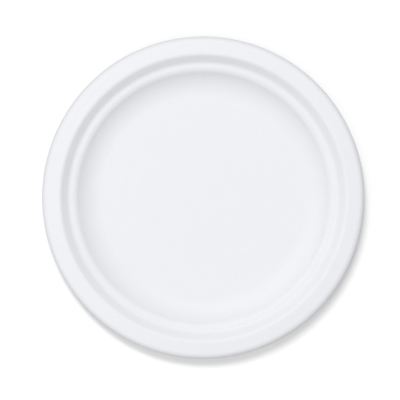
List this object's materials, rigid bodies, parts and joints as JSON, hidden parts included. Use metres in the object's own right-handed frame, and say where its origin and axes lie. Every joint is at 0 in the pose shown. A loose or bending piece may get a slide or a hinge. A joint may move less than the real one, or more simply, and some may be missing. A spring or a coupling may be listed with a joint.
{
  "type": "moulded fibre paper plate",
  "caption": "Round disposable plate pressed from moulded fibre, with a flat floor, a stepped wall and a broad rim with a rolled-down lip.",
  "frame": {"origin": "centre of the flat underside of the floor, on the surface that the plate stands on", "axes": "+Z is the plate's axis, pointing up out of its well; the plate is round, so +X and +Y are any two directions across it"},
  "size_m": [0.225, 0.225, 0.0175],
  "materials": {
    "moulded_fibre": "uncoated white pulp, hot-pressed smooth above and screen-marked below"
  },
  "bodies": {
    "root": {"plate": "moulded_fibre"}
  },
  "joints": []
}
